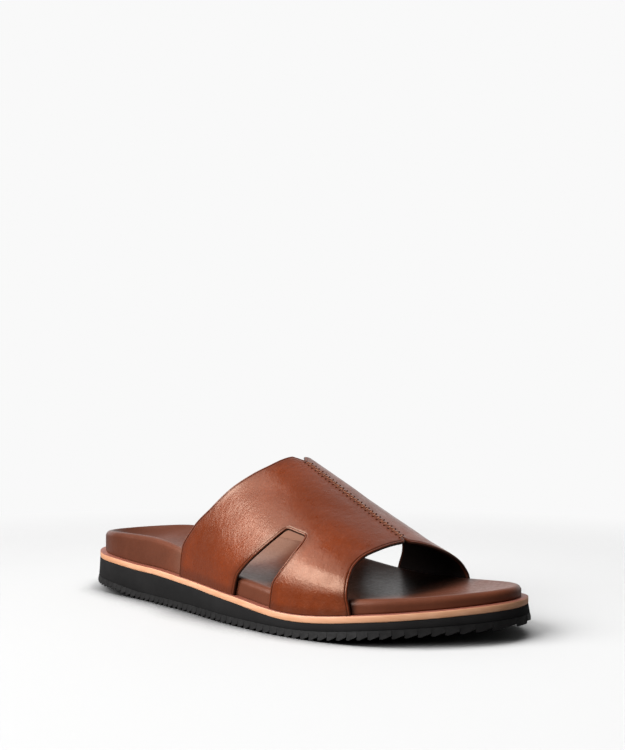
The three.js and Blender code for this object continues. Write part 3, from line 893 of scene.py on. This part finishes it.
upper_mesh = bmesh.new()
edge_layer = upper_mesh.verts.layers.float.new("from_edge")
seam_layer = upper_mesh.verts.layers.float.new("from_seam")
across_layer = upper_mesh.verts.layers.float.new("across")
line_layer = upper_mesh.verts.layers.int.new("line")
row_layer = upper_mesh.verts.layers.int.new("row")
bmesh.ops.create_grid(upper_mesh, x_segments=upper_lines - 1, y_segments=upper_rows - 1, size=1)
for vert in upper_mesh.verts:
    line = round((vert.co.x + 1) / 2 * (upper_lines - 1))
    row = round((vert.co.y + 1) / 2 * (upper_rows - 1))
    vert[line_layer], vert[row_layer] = line, row
    vert[edge_layer] = from_edge[line, row] / MM
    vert[seam_layer] = from_seam[line, row] / MM
    vert[across_layer] = abs(grid_across[line, row])


def in_slot(face):
    """True for a grid face that lies in a cut-out."""
    lines = [abs(vert[line_layer] - half_lines) for vert in face.verts]
    rows = [vert[row_layer] for vert in face.verts]
    return min(lines) >= slot_line and min(rows) >= slot_start and max(rows) <= slot_stop


bmesh.ops.delete(upper_mesh, geom=[face for face in upper_mesh.faces if in_slot(face)], context="FACES")
lining_copy = bmesh.ops.duplicate(upper_mesh, geom=upper_mesh.faces[:])["geom"]
lining_verts = {item for item in lining_copy if isinstance(item, bmesh.types.BMVert)}
lining_faces = [item for item in lining_copy if isinstance(item, bmesh.types.BMFace)]
for vert in upper_mesh.verts:
    sheet = inner_face if vert in lining_verts else outer_face
    vert.co = sheet[vert[line_layer], vert[row_layer]]
for lining_face in lining_faces:
    lining_face.material_index = 1
bmesh.ops.reverse_faces(upper_mesh, faces=lining_faces)
bmesh.ops.remove_doubles(upper_mesh, verts=upper_mesh.verts[:], dist=0.001 * MM)
bmesh.ops.recalc_face_normals(upper_mesh, faces=upper_mesh.faces[:])


def stored(tree, name):
    """A measure that the piece's corners carry."""
    return add_node(tree, "Attribute", attribute_name=name).outputs["Fac"]


cognac = new_material(
    "cognac_leather", Roughness=0.32, Specular_IOR_Level=0.62, Specular_Tint=(1, 0.7, 0.52, 1))
tree = cognac.node_tree
edge_gap = stored(tree, "from_edge")
seam_gap = stored(tree, "from_seam")
cloud = ramp(tree, noise(tree, 26, detail=3), 0.3, 0.72)
calf = blend_dyes(tree, cloud, dye("5b2206"), dye("6a2806"))
mottle = ramp(tree, noise(tree, 420, detail=4), 0.35, 0.7, 0, 0.35)
calf = blend_dyes(tree, mottle, calf, dye("561e08"))
burnish = ramp(tree, edge_gap, 1.5, 7, 0.45, 0)
calf = blend_dyes(tree, burnish, calf, dye("4a1c0c"))
# Painted shade: the upper is dyed darker toward its foot, where it meets the welt.
foot = ramp(tree, stored(tree, "across"), 1.45, 1.85, 0, 0.6)
calf = blend_dyes(tree, foot, calf, dye("451a0a"))
# Beside the seam the calf is darker: partly burnish, partly painted shade of the seam's trough.
seam_burnish_and_shade = ramp(tree, seam_gap, 2.3, 3.2, 0.3, 0)
calf = blend_dyes(tree, seam_burnish_and_shade, calf, dye("4f240f"))
# Painted shade: the groove of the pressed line is dyed near black.
groove_shade_in = ramp(tree, edge_gap, 1.0, 1.3)
groove_shade_out = ramp(tree, edge_gap, 1.35, 1.7, 0.75, 0)
calf = blend_dyes(tree, both(tree, groove_shade_in, groove_shade_out), calf, dye("220d06"))
cut_edge = ramp(tree, edge_gap, 0.1, 0.45, 0.9, 0)
calf = blend_dyes(tree, cut_edge, calf, dye("1c0d08"))
feed(cognac, "Base Color", calf)
feed(cognac, "Roughness", ramp(tree, noise(tree, 180, detail=4), 0.3, 0.7, 0.27, 0.37))
grain = noise(tree, 620, detail=4, roughness=0.6, stretch=(1, 0.55, 1), turn=(0.5, 0.2, 0.6))
folds = noise(tree, 240, detail=5, roughness=0.65, stretch=(1, 0.45, 0.6), turn=(0.9, 0.3, 0.4))
folds = relief(tree, ramp(tree, folds, 0.4, 0.62), 0.045 * MM)
pores = add_node(tree, "TexVoronoi", {
    "Vector": add_node(tree, "TexCoord").outputs["Object"], "Scale": 2400,
}, feature="SMOOTH_F1").outputs["Distance"]
feed(cognac, "Normal", relief(tree, pores, 0.025 * MM, relief(tree, grain, 0.13 * MM, folds)))

# The lining is painted near black as shade toward the front, and light brown as light toward the rear.
lining = new_material("lining_painted_lit_and_shaded", Roughness=0.7, Specular_IOR_Level=0.1)
tree = lining.node_tree
nap = noise(tree, 1400, detail=3)
fabric = blend_dyes(tree, ramp(tree, nap, 0.3, 0.7), dye("100a08"), dye("19100d"))
painted_rear_light = ramp(tree, object_axis(tree, "X"), *PAINTED_LIGHT_REAR, 1, 0)
fabric = blend_dyes(tree, painted_rear_light, fabric, dye("8a6452"))
edge_gap = stored(tree, "from_edge")
turned_over = ramp(tree, edge_gap, 1.3, 1.8, 1, 0)
fabric = blend_dyes(tree, turned_over, fabric, dye("3c1a0d"))
feed(lining, "Base Color", blend_dyes(tree, ramp(tree, edge_gap, 0.1, 0.5, 0.9, 0), fabric, dye("1c0d08")))
feed(lining, "Normal", relief(tree, nap, 0.06 * MM))

upper = new_piece(upper_mesh, "cognac_upper", [cognac, lining], sharp_degrees=70)
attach(upper, "root")
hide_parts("upper")


# Seam stitches
# Tan waxed thread in a zig-zag across the butt seam, from notch to notch.
# Each stitch is a lens-shaped pass between two needle holes.
STITCH_PITCH = 2.8 * MM
STITCH_REACH = 2.4 * MM
THREAD = 0.75 * MM
NEEDLE_HOLE = 1.3 * MM
STITCH_END_GAP = 2.2 * MM


def stitch_places():
    """Needle holes of the zig-zag, with the leather's normal at each."""
    rear, front = LENGTH * (np.array([SEAM_REAR, SEAM_FRONT]) - 0.5)
    slope = (VAMP_HEIGHT - INSTEP_HEIGHT) / (front - rear)
    seam_length = (front - rear) * math.hypot(1, slope)
    holes = int((seam_length - 2 * STITCH_END_GAP) / (STITCH_PITCH / 2))
    share = np.linspace(STITCH_END_GAP, seam_length - STITCH_END_GAP, holes + 1) / seam_length
    x = mix(rear, front, share)
    sides = np.where(np.arange(holes + 1) % 2 == 0, -1.0, 1.0)
    across = across_beside_seam(x, STITCH_REACH, sides)
    up = outward(x, across)
    lift = SEAM_RIDGE["height"] * bell(STITCH_REACH, SEAM_RIDGE["width"])
    return upper_place(x, across) + up * lift, up


def lay_bead(mesh, centre, along, up, size, index):
    """A small bead of a given size, its axes turned to lie along and up."""
    bead = bmesh.ops.create_uvsphere(mesh, u_segments=8, v_segments=5, radius=0.5)["verts"]
    sideways = up.cross(along).normalized()
    up = along.cross(sideways).normalized()
    for vert in bead:
        part = vert.co.copy()
        vert.co = centre + along * part.z * size[0] + sideways * part.x * size[1] + up * part.y * size[2]
    for bead_face in {bead_face for vert in bead for bead_face in vert.link_faces}:
        bead_face.material_index = index


stitch_mesh = bmesh.new()
holes, hole_normals = stitch_places()
for start, stop, up in zip(holes[:-1], holes[1:], hole_normals[1:] + hole_normals[:-1]):
    up = Vector(up).normalized()
    along = Vector(stop - start)
    middle = Vector((start + stop) / 2) + up * THREAD * 0.25
    lay_bead(stitch_mesh, middle, along.normalized(), up, (along.length * 0.72, THREAD, THREAD * 0.8), 0)
# Dark beads at the needle holes stand in for the shade inside them: painted shade.
for hole, up in zip(holes, hole_normals):
    up = Vector(up)
    level = Vector((1, 0, 0)).cross(up).normalized()
    lay_bead(stitch_mesh, Vector(hole), level, up, (NEEDLE_HOLE, NEEDLE_HOLE * 0.8, NEEDLE_HOLE * 0.75), 1)
bmesh.ops.recalc_face_normals(stitch_mesh, faces=stitch_mesh.faces[:])

thread = new_material("tan_thread", Roughness=0.55, Specular_IOR_Level=0.4)
tree = thread.node_tree
twist = noise(tree, 3800, detail=2, stretch=(1, 1, 0.4))
feed(thread, "Base Color", blend_dyes(tree, ramp(tree, twist, 0.3, 0.7), dye("804a32"), dye("9c6446")))
feed(thread, "Normal", relief(tree, twist, 0.06 * MM))
# Painted shade: the needle holes' beads are dyed dark brown.
needle_hole_shade = new_material("needle_hole_shade", Roughness=0.8, Specular_IOR_Level=0.2)
tree = needle_hole_shade.node_tree
feed(needle_hole_shade, "Base Color", blend_dyes(tree, noise(tree, 2000), dye("38190d"), dye("4c2413")))

stitches = new_piece(stitch_mesh, "seam_stitches", [thread, needle_hole_shade])
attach(stitches, "root")


# Floor and light
# A white sweep in front of a bright wall, in a room that is dark behind the camera.
# One soft box stands to the left of the camera, one leans in above it, and one hangs
# over the back of the shoe.
FLOOR_SIZE = 6
PAPER_WHITE = 0.947
SHADE_START = 0.24
SHADE_END = 0.6
# Reach and colour of the painted contact shadow under the sole.
CONTACT_REACH = 0.05
CONTACT_BLACK = (0.01, 0.01, 0.01, 1)
RAISED_ENDS = (0.085, 0.15)
TOWARD_BOX = (-0.47, -0.88, 0)
PAPER_SHADES = (0.51, 0.405)
BOUNCE = (0.14, 0.14, 0.14, 1)
BOUNCE_GLOW = 0.18
DARK_ROOM = 0.12

floor_mesh = bmesh.new()
bmesh.ops.create_grid(floor_mesh, x_segments=8, y_segments=8, size=FLOOR_SIZE)
paper = new_material("white_sweep", Roughness=0.9, Specular_IOR_Level=0.0)
tree = paper.node_tree
seen = add_node(tree, "LightPath").outputs["Is Camera Ray"]
# Painted contact shadow: the paper is dyed black where the sole stands close over it, less so toward both
# raised ends.
openness = add_node(tree, "AmbientOcclusion", {"Distance": CONTACT_REACH}, samples=8).outputs["AO"]
painted_contact_shadow = ramp(tree, openness, 0.5, 0.74)
ends = add_node(tree, "Math", {0: object_axis(tree, "X")}, operation="ABSOLUTE").outputs[0]
painted_contact_shadow = add_node(tree, "Math", {
    0: painted_contact_shadow, 1: ramp(tree, ends, *RAISED_ENDS, 0, 0.85),
}, operation="MAXIMUM").outputs[0]
# Painted shade: the paper is dyed darker on the side toward the left box, to even out that box's light.
away = add_node(tree, "VectorMath", {
    0: add_node(tree, "TexCoord").outputs["Object"], 1: TOWARD_BOX,
}, operation="DOT_PRODUCT").outputs["Value"]
paper_shade = ramp(tree, away, -0.3, 0.3, *PAPER_SHADES)
lit_paper = blend_dyes(tree, painted_contact_shadow, CONTACT_BLACK, paper_shade)
feed(paper, "Base Color", blend_dyes(tree, seen, BOUNCE, lit_paper))
centre_gap = add_node(tree, "VectorMath", {
    0: add_node(tree, "TexCoord").outputs["Object"],
}, operation="LENGTH").outputs["Value"]
glow = add_node(tree, "Emission", {
    "Color": (1, 1, 1, 1), "Strength": ramp(tree, seen, 0, 1, BOUNCE_GLOW, PAPER_WHITE)})
sweep = add_node(tree, "MixShader", {
    0: ramp(tree, centre_gap, SHADE_START, SHADE_END),
    1: tree.nodes["Principled BSDF"].outputs["BSDF"],
    2: glow.outputs["Emission"],
})
tree.links.new(sweep.outputs["Shader"], tree.nodes["Material Output"].inputs["Surface"])
floor = new_piece(floor_mesh, "floor", [paper])

AIM = Vector((0.05, -0.02, 0.03))
LOOK = math.radians(40.43)


def soft_box(name, azimuth, elevation, distance, size, power, glossy=True):
    """A rectangular light aimed at the shoe."""
    around, above = math.radians(azimuth), math.radians(elevation)
    toward = Vector((math.cos(around) * math.cos(above), math.sin(around) * math.cos(above), math.sin(above)))
    light = bpy.data.lights.new(name, "AREA")
    light.shape = "RECTANGLE"
    light.size, light.size_y = size
    light.energy = power
    box = bpy.data.objects.new(name, light)
    bpy.context.scene.collection.objects.link(box)
    box.location = AIM + toward * distance
    box.rotation_euler = (-toward).to_track_quat("-Z", "Y").to_euler()
    box.visible_glossy = glossy


soft_box("box_left", -112, 33, 1.6, (1.5, 1.1), 60)
soft_box("box_high", -132, 64, 1.5, (1.1, 1.0), 10)
soft_box("box_top", 60, 78, 1.8, (1.2, 1.2), 18, glossy=False)

world = bpy.data.worlds.new("studio")
bpy.context.scene.world = world
world.use_nodes = True
tree = world.node_tree
backward = add_node(tree, "VectorMath", {
    0: add_node(tree, "TexCoord").outputs["Generated"], 1: (-math.sin(LOOK), math.cos(LOOK), 0),
}, operation="DOT_PRODUCT").outputs["Value"]
wall_light = ramp(tree, backward, 0.3, 0.9, DARK_ROOM, PAPER_WHITE)
seen = add_node(tree, "LightPath").outputs["Is Camera Ray"]
shown = add_node(tree, "Mix", {0: seen, 2: wall_light, 3: PAPER_WHITE}, data_type="FLOAT").outputs[0]
background = tree.nodes["Background"]
background.inputs["Color"].default_value = (1, 1, 1, 1)
tree.links.new(shown, background.inputs["Strength"])
bpy.context.scene.view_settings.view_transform = "Standard"


# Camera
# It looks at the lateral side from ahead, low over the floor, as the photograph does.
camera_lens = bpy.data.cameras.new("camera")
camera_lens.lens = 50.03
camera_lens.sensor_width = 36
camera_lens.clip_start = 0.01
camera = bpy.data.objects.new("camera", camera_lens)
bpy.context.scene.collection.objects.link(camera)
camera.location = (0.39384, -0.43061, 0.10894)
camera.rotation_euler = (math.radians(91.94), 0, LOOK)
bpy.context.scene.camera = camera
